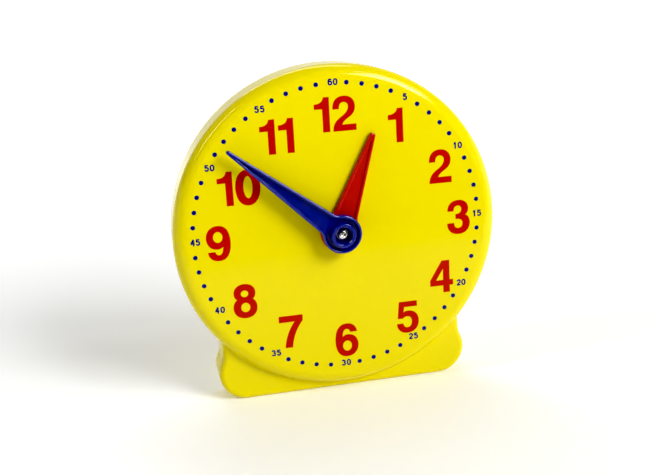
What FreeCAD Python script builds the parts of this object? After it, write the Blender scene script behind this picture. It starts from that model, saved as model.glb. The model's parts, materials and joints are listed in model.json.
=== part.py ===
import FreeCAD, Part
import os
from math import pi, sin, cos, tan, acos, atan2, radians, degrees, sqrt

V = FreeCAD.Vector

# Geared teaching clock. Millimetres, +Z up, the dial faces -Y.
# Origin: middle of the underside of the whole clock.

# ---------------------------------------------------------------- driving dimensions
HUB_Z = 64.8          # height of the hand axis above the table
HUB_FRONT = 8.4       # the hand boss stands this far in front of the dial
DEPTH = 19.0          # dial plane to back
YB = (HUB_FRONT + DEPTH) / 2.0      # back plane
YF = YB - DEPTH                     # dial plane

DISC_R = 62.25        # widest radius of the round case
DISC_TAPER = 0.55     # the side wall is this much smaller at the back
RIM_FILLET = 5.1      # big rounding between dial and side wall
WALL = 2.2            # moulded wall

BASE_SETBACK = 4.4    # foot front lies this far behind the dial
BASE_HALF = 49.15     # widest half width of the foot
BASE_CORNER = 10.4    # bottom corner radius of the foot
NECK_HALF = 47.2      # half width where the foot meets the disc
NECK_Z = 19.3         # height where the neck becomes upright
BASE_FRONT_R = 2.0    # rounding of the foot's front edge
BACK_EDGE_R = 0.5     # rounding of the back edge
COVE_R = 0.35         # hollow rounding where rim and foot meet

COVER_T = 2.0         # back plate thickness
COVER_LIP = 1.1       # width of the shell's lip round the back plate
COVER_GAP = 0.15      # gap between back plate and lip

# gear train: minute pinion -> idler wheel, idler pinion -> hour wheel
CENTRE_DIST = 24.0
M1, Z_MIN, Z_IDW = 1.0, 12, 36
M2, Z_IDP, Z_HOUR = 0.8, 12, 48
SHIFT = 0.30
BACKLASH = 0.16
PRESSURE = radians(20.0)

# depths behind the dial plane (positive goes into the case)
D_WASH0, D_WASH1 = 3.2, 3.5           # hour wheel washer
D_HOUR0, D_HOUR1 = 3.6, 6.6           # hour wheel rim
D_MIN0, D_MIN1 = 6.8, 10.3            # minute pinion
D_IDP0, D_IDW0, D_IDW1 = 3.6, 7.0, 10.2
D_IDHUB = 10.85                       # end of the idler's hub
D_IDWASH0, D_IDWASH1 = 10.95, 11.3
D_BRIDGE0, D_BRIDGE1 = 11.4, 13.4     # bearing plate
D_ARBOR_END = 13.9

ARBOR_R = 2.8         # minute shaft
TUBE_BORE = 2.85      # running clearance 0.05 on the shaft
TUBE_R = 4.4          # hour tube
FACE_BORE = 4.45      # running clearance 0.05 on the tube
TUBE_SEAT_R = 3.9     # where the hour hand is pushed on
JOURNAL_R = 2.4
BRIDGE_BORE = 2.45
PIN_R = 1.5
IDLER_BORE = 1.55

# hands: heights in front of the dial plane
HOUR_ANGLE = 21.8     # clockwise from twelve
HOUR_TIP = 38.9
HOUR_H0, HOUR_WEB, HOUR_TOP, HOUR_BOSS = 0.5, 1.35, 2.25, 3.2
HOUR_HUB_R = 7.6
HOUR_HW0, HOUR_HW1, HOUR_R0, HOUR_R1 = 4.4, 1.2, 9.0, 37.0   # half width at two radii
HOUR_RIM = 1.15

MIN_ANGLE = -49.1
MIN_TIP = 53.8
MIN_H0, MIN_BLADE0, MIN_WEB, MIN_TOP, MIN_TIP_TOP = 3.6, 4.1, 5.2, 6.6, 5.9
MIN_HUB_R = 7.3
MIN_HW0, MIN_HW1, MIN_R0, MIN_R1 = 3.93, 0.97, 11.0, 50.0
MIN_RIM = 1.0
MIN_FLOOR = 4.6       # floor of the groove round the boss
BOSS_R = 4.6
BOSS_TOP = HUB_FRONT
RECESS_R = 2.9
SCREW_SEAT = 5.6
SPIGOT_R = 2.2
SPIGOT_TOP = 4.9
SCREW_HEAD_R = 1.93
SCREW_HEAD_H = 1.3

# screws
COVER_SCREWS = [(-35.5, 35.5), (35.5, 35.5), (-37.5, -52.0), (37.5, -52.0)]   # from the hand axis
BRIDGE_SCREWS = [(0.0, 25.0), (-21.0, -44.0), (21.0, -44.0)]
IDLER_XZ = (0.0, -CENTRE_DIST)

os.makedirs("parts", exist_ok=True)


# ---------------------------------------------------------------- helpers
def P(x, y, z):
    return V(x, y, z)


def cyl(r, d0, d1, x=0.0, z=0.0):
    """Cylinder along Y between depths d0 and d1, centred (x, z) from the hand axis."""
    return Part.makeCylinder(r, d1 - d0, V(x, YF + d0, HUB_Z + z), V(0, 1, 0))


def ring(r_out, r_in, d0, d1, x=0.0, z=0.0):
    return cyl(r_out, d0, d1, x, z).cut(cyl(r_in, d0 - 1, d1 + 1, x, z))


def revolve(edges_or_pts, x=0.0, z=0.0):
    """Solid of revolution about the Y line through (x, z); points are (radius, depth)."""
    if isinstance(edges_or_pts[0], Part.Edge):
        w = Part.Wire(edges_or_pts)
    else:
        pts = [V(r, YF + d, 0) for r, d in edges_or_pts]
        w = Part.makePolygon(pts + [pts[0]])
    s = Part.Face(w).revolve(V(0, 0, 0), V(0, 1, 0), 360)
    s.translate(V(x, 0, HUB_Z + z))
    return s


def ln(a, b):
    return Part.LineSegment(V(a[0], YF + a[1], 0), V(b[0], YF + b[1], 0)).toShape()


def arc3(a, m, b):
    return Part.Arc(V(a[0], YF + a[1], 0), V(m[0], YF + m[1], 0), V(b[0], YF + b[1], 0)).toShape()


def quarter(a, b, c, r):
    """Arc from a to b about centre c (radius r), by its middle point."""
    mx, my = (a[0] + b[0]) / 2 - c[0], (a[1] + b[1]) / 2 - c[1]
    k = r / sqrt(mx * mx + my * my)
    return arc3(a, (c[0] + mx * k, c[1] + my * k), b)


def prism(face_xz, d0, d1):
    """Extrude an XZ face, drawn at y=0 round the hand axis, between two depths."""
    s = face_xz.copy()
    s.translate(V(0, YF + d0, HUB_Z))
    return s.extrude(V(0, d1 - d0, 0))


def xz(x, z):
    return V(x, 0, z)


def one(shape):
    """The single solid inside a boolean's result."""
    s = shape.removeSplitter()
    return s.Solids[0] if len(s.Solids) == 1 else s


def save(name, shape):
    if not shape.isValid():
        raise RuntimeError(name + " is not valid")
    shape.exportStep("parts/" + name + ".step")
    bb = shape.BoundBox
    print("%-20s solids %d  vol %9.1f  x %.2f..%.2f y %.2f..%.2f z %.2f..%.2f" % (
        name, len(shape.Solids), shape.Volume, bb.XMin, bb.XMax, bb.YMin, bb.YMax, bb.ZMin, bb.ZMax))


# ---------------------------------------------------------------- foot outline
def foot_face(t, ztop):
    """Front outline of the foot, moved inwards by t, drawn in table heights (XZ at y=0)."""
    r1 = BASE_CORNER
    dx, dz = BASE_HALF - NECK_HALF, NECK_Z - BASE_CORNER
    th = 2 * atan2(dx, dz)
    r2 = dz / sin(th) - r1
    c1 = (BASE_HALF - r1, r1)
    c2 = (NECK_HALF + r2, NECK_Z)
    a, b = r1 - t, r2 + t
    e = []

    def pt(s, c, r, ang):
        return V(s * (c[0] + r * cos(ang)), 0, c[1] + r * sin(ang))
    for s in (1, -1):
        e.append(Part.Arc(pt(s, c1, a, -pi / 2), pt(s, c1, a, (th - pi / 2) / 2), pt(s, c1, a, th)).toShape())
        e.append(Part.Arc(pt(s, c2, b, pi + th), pt(s, c2, b, pi + th / 2), pt(s, c2, b, pi)).toShape())
        e.append(Part.LineSegment(V(s * (NECK_HALF - t), 0, NECK_Z), V(s * (NECK_HALF - t), 0, ztop)).toShape())
    e.append(Part.LineSegment(V(-c1[0], 0, t), V(c1[0], 0, t)).toShape())
    e.append(Part.LineSegment(V(-(NECK_HALF - t), 0, ztop), V(NECK_HALF - t, 0, ztop)).toShape())
    return Part.Face(Part.Wire(Part.__sortEdges__(e)))


def foot_prism(t, ztop, d0, d1):
    f = foot_face(t, ztop)
    f.translate(V(0, YF + d0, 0))
    return f.extrude(V(0, d1 - d0, 0))


# ---------------------------------------------------------------- front housing
def disc_outer():
    r, f, b = DISC_R, RIM_FILLET, BACK_EDGE_R
    rb = r - DISC_TAPER
    return revolve([
        ln((0, 0), (r - f, 0)),
        quarter((r - f, 0), (r, f), (r - f, f), f),
        ln((r, f), (rb, DEPTH - b)),
        quarter((rb, DEPTH - b), (rb - b, DEPTH), (rb - b, DEPTH - b), b),
        ln((rb - b, DEPTH), (0, DEPTH)),
        ln((0, DEPTH), (0, 0))])


def foot_outer():
    s = foot_prism(0.0, 33.0, BASE_SETBACK, DEPTH)
    front, back = [], []
    for e in s.Edges:
        bb = e.BoundBox
        if bb.ZMin > 32.9:
            continue
        if abs(bb.YMin - (YF + BASE_SETBACK)) < 1e-6 and abs(bb.YMax - bb.YMin) < 1e-6:
            front.append(e)
        if abs(bb.YMin - YB) < 1e-6 and abs(bb.YMax - bb.YMin) < 1e-6:
            back.append(e)
    s = s.makeFillet(BASE_FRONT_R, front)
    back = [e for e in s.Edges if abs(e.BoundBox.YMin - YB) < 1e-6 and e.BoundBox.YMax - e.BoundBox.YMin < 1e-6
            and e.BoundBox.ZMin < 32.9]
    return s.makeFillet(BACK_EDGE_R, back)


def cove():
    """Hollow fillet between the rim of the disc and the foot's front."""
    ri = DISC_R - RIM_FILLET + sqrt(RIM_FILLET ** 2 - (RIM_FILLET - BASE_SETBACK + COVE_R) ** 2)
    d = BASE_SETBACK
    ro = DISC_R + COVE_R - 0.05
    k = 0.2929
    prof = [
        ln((DISC_R - 3, d + 0.4), (DISC_R - 3, d - COVE_R)),
        ln((DISC_R - 3, d - COVE_R), (ri - 0.05, d - COVE_R)),
        arc3((ri - 0.05, d - COVE_R), (ri + (ro - ri) * k, d - COVE_R * k), (ro, d)),
        ln((ro, d), (ro, d + 0.4)),
        ln((ro, d + 0.4), (DISC_R - 3, d + 0.4))]
    s = revolve(prof)
    # only over the foot's flat front
    return s.common(foot_prism(BASE_FRONT_R, 31.0, 0, BASE_SETBACK + 1))


POST_R, POST_PILOT = 3.2, 1.3
COVER_BOSS = 4.0      # the back plate's screw bosses reach this far in

body = disc_outer().fuse(foot_outer()).fuse(cove())
ci = DISC_R - DISC_TAPER - WALL - 0.2          # inner radius
cf = RIM_FILLET - WALL
hollow = revolve([
    ln((0, WALL), (ci - cf, WALL)),
    quarter((ci - cf, WALL), (ci, WALL + cf), (ci - cf, WALL + cf), cf),
    ln((ci, WALL + cf), (ci, DEPTH + 1)),
    ln((ci, DEPTH + 1), (0, DEPTH + 1)),
    ln((0, DEPTH + 1), (0, WALL))])
hollow = hollow.fuse(foot_prism(WALL, 33.0 - WALL, BASE_SETBACK + WALL, DEPTH + 1))
rebate = cyl(DISC_R - DISC_TAPER - COVER_LIP, DEPTH - COVER_T, DEPTH + 1).fuse(
    foot_prism(COVER_LIP, 31.0, DEPTH - COVER_T, DEPTH + 1))
body = body.cut(hollow).cut(rebate)

post_end = DEPTH - COVER_T - COVER_BOSS
for x, z in COVER_SCREWS:
    start = 1.5 if z > 0 else BASE_SETBACK + 1.5
    body = body.fuse(cyl(POST_R, start, post_end, x, z))
for x, z in BRIDGE_SCREWS:
    body = body.fuse(cyl(POST_R, 1.5 if z > -40 else 1.5, D_BRIDGE0, x, z))
body = body.fuse(cyl(8.6, 1.5, D_WASH0)).fuse(cyl(3.6, 1.5, D_IDP0 - 0.2, *IDLER_XZ))
body = body.cut(cyl(FACE_BORE, -1, 5)).cut(cyl(PIN_R, 1.1, 6, *IDLER_XZ))
for x, z in COVER_SCREWS:
    body = body.cut(cyl(POST_PILOT, post_end - 7.0, post_end + 1, x, z))
for x, z in BRIDGE_SCREWS:
    body = body.cut(cyl(POST_PILOT, D_BRIDGE0 - 6.0, D_BRIDGE0 + 1, x, z))

# cross ribs that stiffen the foot, tied to the bottom wall
for x in (-25.0, 0.0, 25.0):
    rib = Part.makeBox(1.4, DEPTH - COVER_T - 0.3 - (BASE_SETBACK + 1.5), 7.0,
                       V(x - 0.7, YF + BASE_SETBACK + 1.5, 1.2))
    body = body.fuse(rib)
front_housing = one(body)
save("front_housing", front_housing)


# ---------------------------------------------------------------- back plate
g = COVER_LIP + COVER_GAP
cover = cyl(DISC_R - DISC_TAPER - g, DEPTH - COVER_T + 0.0, DEPTH).fuse(
    foot_prism(g, 31.0, DEPTH - COVER_T + 0.0, DEPTH))
outer_edges = [e for e in cover.removeSplitter().Edges
               if abs(e.BoundBox.YMin - YB) < 1e-6 and e.BoundBox.YMax - e.BoundBox.YMin < 1e-6]
cover = cover.removeSplitter()
cover = cover.makeChamfer(0.3, [e for e in cover.Edges if abs(e.BoundBox.YMin - YB) < 1e-6
                                and e.BoundBox.YMax - e.BoundBox.YMin < 1e-6])
for x, z in COVER_SCREWS:
    cover = cover.fuse(cyl(4.2, post_end, DEPTH - COVER_T + 0.5, x, z))
for x, z in COVER_SCREWS:
    cover = cover.cut(cyl(3.0, post_end + 1.6, DEPTH + 1, x, z)).cut(cyl(1.6, post_end - 1, DEPTH + 1, x, z))
# a shallow sunk panel in the middle of the plate, with soft edges
panel = cyl(40.0, DEPTH - 0.6, DEPTH + 1)
cover = cover.cut(panel)
rear_cover = one(cover)
save("rear_cover", rear_cover)


# ---------------------------------------------------------------- screws
def cross_recess(x, d_top, z, size, depth, ang=0.0):
    """Cross-shaped driver recess, opening towards -Y at depth d_top (head top)."""
    out = None
    for k in (0, 1):
        w0, w1 = size, size * 0.45
        pts = [V(-w0, 0, -0.18 * size), V(w0, 0, -0.18 * size), V(w0, 0, 0.18 * size), V(-w0, 0, 0.18 * size)]
        a = Part.Face(Part.makePolygon(pts + [pts[0]]))
        pts2 = [V(-w1, depth, -0.12 * size), V(w1, depth, -0.12 * size), V(w1, depth, 0.12 * size), V(-w1, depth, 0.12 * size)]
        wa = Part.makePolygon(pts + [pts[0]])
        wb = Part.makePolygon(pts2 + [pts2[0]])
        s = Part.makeLoft([wa, wb], True, True)
        s.rotate(V(0, 0, 0), V(0, 1, 0), 90 * k + ang)
        out = s if out is None else out.fuse(s)
    out.translate(V(x, YF + d_top, HUB_Z + z))
    return out


def screw(x, z, d_seat, sign, head_r, head_h, shank_r, length, ang=0.0):
    """Pan-head self-tapping screw. d_seat: depth of the head's underside.
    sign +1: the point goes deeper into the case; -1: it goes towards the dial."""
    hr, hh, sr, L = head_r, head_h, shank_r, length
    e = 0.3 * hh
    pts = [(0, -hh), (hr * 0.45, -hh), (hr * 0.75, -hh * 0.93), (hr * 0.93, -hh * 0.72), (hr, -hh * 0.42), (hr, 0),
           (sr, 0), (sr, L - 1.2), (sr * 0.25, L), (0, L)]
    w = Part.makePolygon([V(r, d, 0) for r, d in pts] + [V(pts[0][0], pts[0][1], 0)])
    s = Part.Face(w).revolve(V(0, 0, 0), V(0, 1, 0), 360)
    rec = []
    for k in (0, 1):
        q = 0.62 * hr
        a = [V(-q, -hh - 0.01, -0.17 * hr), V(q, -hh - 0.01, -0.17 * hr), V(q, -hh - 0.01, 0.17 * hr), V(-q, -hh - 0.01, 0.17 * hr)]
        b = [V(-q * 0.35, -hh * 0.3, -0.1 * hr), V(q * 0.35, -hh * 0.3, -0.1 * hr), V(q * 0.35, -hh * 0.3, 0.1 * hr), V(-q * 0.35, -hh * 0.3, 0.1 * hr)]
        lo = Part.makeLoft([Part.makePolygon(a + [a[0]]), Part.makePolygon(b + [b[0]])], True, True)
        lo.rotate(V(0, 0, 0), V(0, 1, 0), 90 * k + ang)
        s = s.cut(lo)
    if sign < 0:
        s.rotate(V(0, 0, 0), V(1, 0, 0), 180)
    s.translate(V(x, YF + d_seat, HUB_Z + z))
    return s.Solids[0]


save("rear_cover_screws", Part.makeCompound(
    [screw(x, z, post_end + 1.6, -1, 2.6, 1.9, POST_PILOT, 8.0, 20 + 17 * i) for i, (x, z) in enumerate(COVER_SCREWS)]))
save("gear_bridge_screws", Part.makeCompound(
    [screw(x, z, D_BRIDGE1, -1, 2.6, 1.9, POST_PILOT, 7.6, 5 + 31 * i) for i, (x, z) in enumerate(BRIDGE_SCREWS)]))
save("hand_screw", screw(0, 0, -SCREW_SEAT, 1, SCREW_HEAD_R, SCREW_HEAD_H, 1.0, 7.0, 28.0))


# ---------------------------------------------------------------- gears
def gear_face(m, z, x, backlash, phase, tip_cut=0.0):
    """Involute gear outline in the XZ plane (y=0) round the origin; phase is the
    direction of one tooth's middle, in radians from +X towards +Z."""
    r = m * z / 2.0
    rb = r * cos(PRESSURE)
    ra = r + m * (1 + x) - tip_cut
    rf = r - m * (1.25 - x)
    inv = tan(PRESSURE) - PRESSURE
    s = m * (pi / 2 + 2 * x * tan(PRESSURE)) - backlash / 2

    def half(rho):
        if rho <= rb:
            return s / (2 * r) + inv
        f = acos(rb / rho)
        return s / (2 * r) + inv - (tan(f) - f)

    def pol(rho, a):
        return V(rho * cos(a), 0, rho * sin(a))
    edges = []
    r0 = max(rb, rf)
    n = 6
    rad = [r0 + (ra - r0) * (i / n) ** 1.3 for i in range(n + 1)]
    pitch = 2 * pi / z
    for k in range(z):
        c = phase + k * pitch
        left = [pol(q, c - half(q)) for q in rad]
        right = [pol(q, c + half(q)) for q in reversed(rad)]
        if rf < rb - 1e-6:
            edges.append(Part.LineSegment(pol(rf, c - half(rb)), left[0]).toShape())
        b = Part.BSplineCurve()
        b.interpolate(left)
        edges.append(b.toShape())
        edges.append(Part.Arc(left[-1], pol(ra, c), right[0]).toShape())
        b = Part.BSplineCurve()
        b.interpolate(right)
        edges.append(b.toShape())
        if rf < rb - 1e-6:
            edges.append(Part.LineSegment(right[-1], pol(rf, c + half(rb))).toShape())
        a0 = c + (half(rb) if rf < rb else half(rf))
        a1 = c + pitch - (half(rb) if rf < rb else half(rf))
        edges.append(Part.Arc(pol(rf, a0), pol(rf, (a0 + a1) / 2), pol(rf, a1)).toShape())
    return Part.Face(Part.Wire(edges))


def gear(m, z, x, phase, d0, d1, cx=0.0, cz=0.0, tip_cut=0.0):
    f = gear_face(m, z, x, BACKLASH, phase, tip_cut)
    f.translate(V(cx, YF + d0, HUB_Z + cz))
    return f.extrude(V(0, d1 - d0, 0))


WHEEL_TIP_CUT = 0.12

# minute shaft with its pinion; flats on the front spigot take the minute hand
arb = cyl(ARBOR_R, -MIN_H0, D_MIN0 + 0.2).fuse(gear(M1, Z_MIN, SHIFT, -pi / 2, D_MIN0, D_MIN1))
arb = arb.fuse(cyl(JOURNAL_R, D_MIN1 - 0.2, D_ARBOR_END))
spig = cyl(SPIGOT_R, -SPIGOT_TOP, -MIN_H0 + 0.5)
spig = spig.cut(Part.makeBox(10, 10, 10, V(-5, YF - 9.9, HUB_Z + 1.6)))
arb = arb.fuse(spig).cut(cyl(1.0, -SPIGOT_TOP - 1, 2.2))
save("minute_arbor", one(arb))

# hour wheel on its tube
hw = gear(M2, Z_HOUR, -SHIFT, -pi / 2 + pi / Z_HOUR, D_HOUR0, D_HOUR1, tip_cut=WHEEL_TIP_CUT * 0.8)
hw = hw.fuse(cyl(TUBE_R, -HOUR_H0, D_HOUR0 + 0.5)).fuse(cyl(TUBE_SEAT_R, -HOUR_BOSS, 0))
hw = hw.cut(ring(16.2, 8.2, D_HOUR0 - 1, D_HOUR0 + 0.8)).cut(ring(16.2, 8.2, D_HOUR1 - 0.8, D_HOUR1 + 1))
hw = hw.cut(cyl(TUBE_BORE, -20, 20))
save("hour_wheel", one(hw))

# compound idler
ix, iz = IDLER_XZ
idl = gear(M1, Z_IDW, -SHIFT, pi / 2 + pi / Z_IDW, D_IDW0, D_IDW1, ix, iz, tip_cut=WHEEL_TIP_CUT)
idl = idl.cut(ring(15.2, 7.6, D_IDW0 + 2.2, D_IDW1 + 1, ix, iz))
idl = idl.fuse(gear(M2, Z_IDP, SHIFT, pi / 2, D_IDP0, D_IDW0 + 0.3, ix, iz))
idl = idl.fuse(cyl(3.2, D_IDW1 - 0.5, D_IDHUB, ix, iz)).cut(cyl(IDLER_BORE, -5, 20, ix, iz))
save("idler_gear", one(idl))

save("idler_pin", cyl(PIN_R, 1.1, D_BRIDGE1 + 0.3, ix, iz))
save("idler_washer", ring(3.2, PIN_R, D_IDWASH0, D_IDWASH1, ix, iz))
save("hour_wheel_washer", ring(8.2, FACE_BORE + 0.25, D_WASH0, D_WASH1))


# ---------------------------------------------------------------- bearing plate
def hull_face(circles):
    """Outline round equal circles given counter-clockwise in XZ."""
    r = circles[0][2]
    n = len(circles)
    edges = []
    tang = []
    for i in range(n):
        a, b = circles[i], circles[(i + 1) % n]
        dx, dz = b[0] - a[0], b[1] - a[1]
        L = sqrt(dx * dx + dz * dz)
        nx, nz = dz / L, -dx / L
        tang.append((nx, nz))
        edges.append(Part.LineSegment(xz(a[0] + nx * r, a[1] + nz * r), xz(b[0] + nx * r, b[1] + nz * r)).toShape())
    for i in range(n):
        n0, n1 = tang[i - 1], tang[i]
        mx, mz = n0[0] + n1[0], n0[1] + n1[1]
        k = r / sqrt(mx * mx + mz * mz)
        c = circles[i]
        edges.append(Part.Arc(xz(c[0] + n0[0] * r, c[1] + n0[1] * r), xz(c[0] + mx * k, c[1] + mz * k),
                              xz(c[0] + n1[0] * r, c[1] + n1[1] * r)).toShape())
    return Part.Face(Part.Wire(Part.__sortEdges__(edges)))


tri = [(x, z, 5.6) for x, z in (BRIDGE_SCREWS[0], BRIDGE_SCREWS[1], BRIDGE_SCREWS[2])]
plate = prism(hull_face(tri), D_BRIDGE0, D_BRIDGE1)
plate = plate.fuse(cyl(10.0, D_BRIDGE0, D_BRIDGE1)).fuse(cyl(4.6, D_BRIDGE1 - 0.3, D_ARBOR_END + 0.2))
plate = plate.cut(cyl(BRIDGE_BORE, 0, 20)).cut(cyl(PIN_R, 0, 20, ix, iz))
for x, z in BRIDGE_SCREWS:
    plate = plate.cut(cyl(1.6, 0, 20, x, z))
save("gear_bridge", one(plate))

# wave washer between the minute pinion and the bearing plate
rw0, rw1, t = 3.0, 5.0, 0.22
mid, amp = (D_MIN1 + D_BRIDGE0) / 2.0, (D_BRIDGE0 - D_MIN1) / 2.0 - t / 2 - 0.03


def wave_pts(r, off, n=24):
    return [V(r * cos(2 * pi * i / n), mid + off + amp * sin(3 * 2 * pi * i / n), r * sin(2 * pi * i / n)) for i in range(n)]


def closed_spline(pts):
    b = Part.BSplineCurve()
    b.interpolate(pts, PeriodicFlag=True)
    return b.toShape()


ws = [Part.Wire([closed_spline(wave_pts(rw0, -t / 2))]), Part.Wire([closed_spline(wave_pts(rw1, -t / 2))]),
      Part.Wire([closed_spline(wave_pts(rw1, t / 2))]), Part.Wire([closed_spline(wave_pts(rw0, t / 2))])]
faces = []
for i in range(4):
    faces.append(Part.makeRuledSurface(ws[i].Edges[0], ws[(i + 1) % 4].Edges[0]))
sh = Part.makeShell(faces)
sh.sewShape()
spring = Part.makeSolid(Part.Shell(sh.Faces) if not isinstance(sh, Part.Shell) else sh)
if spring.Volume < 0:
    spring.reverse()
spring.translate(V(0, YF, HUB_Z))
save("friction_spring", spring)


# ---------------------------------------------------------------- hands
def blade_face(tip, r0, hw0, r1, hw1, inset, r_in, end_r):
    """Outline of a tapering blade along +Z: straight sides and a rounded end."""
    def hw(r):
        return hw0 + (hw1 - hw0) * (r - r0) / (r1 - r0)
    slope = (hw1 - hw0) / (r1 - r0)
    k = sqrt(1 + slope * slope)
    ins = inset * k
    t = tip - inset
    rr = end_r
    # the end circle touches both sides and the tip
    # centre (0, c): distance to the side line = rr, c + rr = t when the end is a full round
    c = t - rr
    # points where a circle about (0, c) meets the sides tangentially
    d = (hw(c) - ins) / k
    if d < rr:
        rr = d
        for _ in range(30):
            c = t - rr
            rr = (hw(c) - ins) / k
        c = t - rr
        n = (1 / k, -slope / k)
        a = V(n[0] * rr, 0, c + n[1] * rr)
        b = V(-n[0] * rr, 0, c + n[1] * rr)
        top = V(0, 0, c + rr)
        e = [Part.LineSegment(V(hw(r_in) - ins, 0, r_in), a).toShape(), Part.Arc(a, top, b).toShape(),
             Part.LineSegment(b, V(-(hw(r_in) - ins), 0, r_in)).toShape(),
             Part.LineSegment(V(-(hw(r_in) - ins), 0, r_in), V(hw(r_in) - ins, 0, r_in)).toShape()]
        return Part.Face(Part.Wire(e))
    # blunt end: flat top with two corner rounds of radius end_r
    w = hw(t - rr) - ins
    n = (1 / k, -slope / k)
    cx = w - rr * k
    a = V(cx + n[0] * rr, 0, c + n[1] * rr)
    m = V(cx + rr * 0.7071, 0, c + rr * 0.7071)
    q = V(cx, 0, t)
    e = [Part.LineSegment(V(hw(r_in) - ins, 0, r_in), a).toShape(), Part.Arc(a, m, q).toShape(),
         Part.LineSegment(q, V(-cx, 0, t)).toShape(),
         Part.Arc(V(-cx, 0, t), V(-m.x, 0, m.z), V(-a.x, 0, a.z)).toShape(),
         Part.LineSegment(V(-a.x, 0, a.z), V(-(hw(r_in) - ins), 0, r_in)).toShape(),
         Part.LineSegment(V(-(hw(r_in) - ins), 0, r_in), V(hw(r_in) - ins, 0, r_in)).toShape()]
    return Part.Face(Part.Wire(e))


def turn(shape, deg):
    """Turn clockwise as seen from the front, about the hand axis."""
    s = shape.copy()
    s.rotate(V(0, 0, HUB_Z), V(0, 1, 0), deg)
    return s


# hour hand
hb = dict(tip=HOUR_TIP, r0=HOUR_R0, hw0=HOUR_HW0, r1=HOUR_R1, hw1=HOUR_HW1)
hour = prism(blade_face(inset=0, r_in=0.5, end_r=0.6, **hb), -HOUR_TOP, -HOUR_H0)
hour = hour.fuse(cyl(HOUR_HUB_R, -HOUR_TOP, -HOUR_H0))
web = prism(blade_face(inset=HOUR_RIM, r_in=0.5, end_r=0.6, tip=HOUR_TIP - 1.6, r0=HOUR_R0, hw0=HOUR_HW0, r1=HOUR_R1,
                       hw1=HOUR_HW1), -HOUR_TOP - 1, -HOUR_WEB)
web = web.fuse(cyl(HOUR_HUB_R - HOUR_RIM, -HOUR_TOP - 1, -HOUR_WEB))
hour = hour.cut(web).fuse(cyl(5.4, -HOUR_BOSS, -HOUR_H0)).cut(cyl(TUBE_SEAT_R, -10, 2))
save("hour_hand", one(turn(hour, HOUR_ANGLE)))

# minute hand
mb = dict(tip=MIN_TIP, r0=MIN_R0, hw0=MIN_HW0, r1=MIN_R1, hw1=MIN_HW1)
blade = prism(blade_face(inset=0, r_in=0.5, end_r=2.0, **mb), -MIN_TOP, -MIN_BLADE0)
# the top of the blade falls gently from hub to tip
slope_cut = Part.Face(Part.makePolygon([
    V(0, YF - MIN_TOP, HUB_Z + MIN_HUB_R), V(0, YF - MIN_TIP_TOP, HUB_Z + MIN_TIP + 0.5),
    V(0, YF - 12, HUB_Z + MIN_TIP + 0.5), V(0, YF - 12, HUB_Z + MIN_HUB_R), V(0, YF - MIN_TOP, HUB_Z + MIN_HUB_R)]))
slope_cut.translate(V(-10, 0, 0))
blade = blade.cut(slope_cut.extrude(V(20, 0, 0)))
mh = blade.fuse(cyl(MIN_HUB_R, -MIN_TOP, -MIN_H0))
web = prism(blade_face(inset=MIN_RIM, r_in=0.5, end_r=2.0, tip=MIN_TIP - 4.4, r0=MIN_R0, hw0=MIN_HW0, r1=MIN_R1,
                       hw1=MIN_HW1), -MIN_TOP - 3, -MIN_WEB)
mh = mh.cut(web).cut(cyl(MIN_HUB_R - MIN_RIM, -MIN_TOP - 3, -MIN_FLOOR))
boss = revolve([(0, -MIN_FLOOR + 0.3), (BOSS_R + 0.1, -MIN_FLOOR + 0.3), (BOSS_R + 0.1, -MIN_FLOOR), (BOSS_R, -BOSS_TOP + 0.4),
                (BOSS_R - 0.12, -BOSS_TOP + 0.12), (BOSS_R - 0.4, -BOSS_TOP), (3.85, -BOSS_TOP), (RECESS_R, -7.6),
                (RECESS_R, -SCREW_SEAT), (0, -SCREW_SEAT)])
mh = mh.fuse(boss)
core = cyl(SPIGOT_R, -SPIGOT_TOP, -MIN_H0 + 1)
core = core.cut(Part.makeBox(10, 10, 10, V(-5, YF - 9.9, HUB_Z + 1.6)))
core = turn(core, 0)
minute = turn(mh, MIN_ANGLE)
minute = minute.cut(core).cut(cyl(1.2, -9, 0))
save("minute_hand", one(minute))
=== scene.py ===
import bpy, bmesh, json
import numpy as np
from math import pi, sin, cos, atan2, sqrt, radians, degrees
from mathutils import Vector, Matrix
from mathutils.geometry import delaunay_2d_cdt


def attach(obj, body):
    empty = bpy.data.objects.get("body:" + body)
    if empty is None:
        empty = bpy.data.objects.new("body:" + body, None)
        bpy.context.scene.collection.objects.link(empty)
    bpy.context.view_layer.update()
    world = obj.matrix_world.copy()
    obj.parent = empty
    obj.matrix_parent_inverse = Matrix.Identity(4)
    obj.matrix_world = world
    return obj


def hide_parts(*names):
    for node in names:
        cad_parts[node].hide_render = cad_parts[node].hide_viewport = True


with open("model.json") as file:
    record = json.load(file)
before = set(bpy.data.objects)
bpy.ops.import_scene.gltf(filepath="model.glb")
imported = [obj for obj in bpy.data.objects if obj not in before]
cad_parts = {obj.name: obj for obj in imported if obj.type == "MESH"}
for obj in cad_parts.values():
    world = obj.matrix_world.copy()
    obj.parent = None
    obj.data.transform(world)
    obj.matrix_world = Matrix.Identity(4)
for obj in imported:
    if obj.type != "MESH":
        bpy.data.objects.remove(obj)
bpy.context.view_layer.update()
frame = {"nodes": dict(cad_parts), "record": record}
scene = bpy.context.scene
MM = 0.001

# the frame's own dimensions, in millimetres
HUB_Z, DIAL_Y = 64.8, -5.3
MIN_ANGLE, HOUR_ANGLE = -49.1, 21.8
PRINT_ANGLE = 0.28        # the dial is printed this much clockwise of upright


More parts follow.
